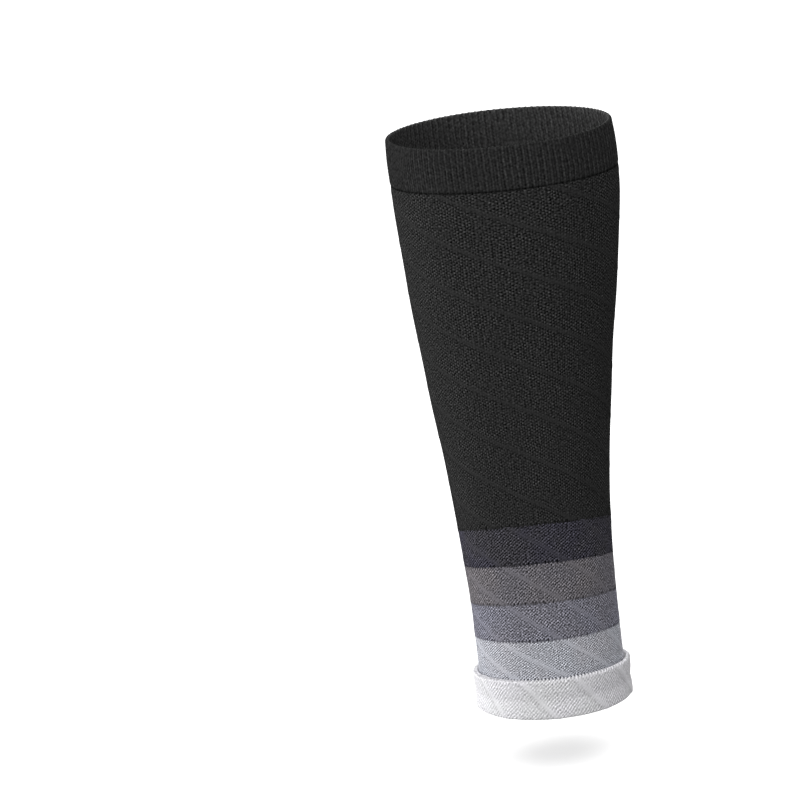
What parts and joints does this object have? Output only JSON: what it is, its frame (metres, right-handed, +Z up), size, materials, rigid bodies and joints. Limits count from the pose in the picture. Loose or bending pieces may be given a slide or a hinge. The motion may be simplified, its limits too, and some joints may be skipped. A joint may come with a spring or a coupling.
{
  "type": "calf compression sleeve",
  "caption": "Knitted calf compression sleeve standing open in its worn shape, with a ribbed top cuff, diagonal ridges, graded colour bands and a turned-up ankle hem.",
  "frame": {"origin": "on the leg's axis, level with the lower edge of the ankle hem, where the sleeve sits on a leg", "axes": "+Z up the leg, -Y the front of the sleeve, the calf muscle towards +X and the shin towards -X"},
  "size_m": [0.1261, 0.0986, 0.33],
  "materials": {
    "black_knit": "matte jersey knit with raised diagonal ridges",
    "black_rib": "matte one by one rib knit",
    "charcoal_knit": "matte jersey knit",
    "warm_grey_knit": "matte jersey knit",
    "blue_grey_knit": "matte jersey knit",
    "light_grey_knit": "matte jersey knit",
    "white_knit": "matte knit, folded double"
  },
  "bodies": {
    "root": {"top_cuff": "black_rib", "calf_tube": "black_knit", "band_charcoal": "charcoal_knit", "band_warm_grey": "warm_grey_knit", "band_blue_grey": "blue_grey_knit", "band_light_grey": "light_grey_knit", "ankle_cuff": "white_knit"}
  },
  "joints": []
}
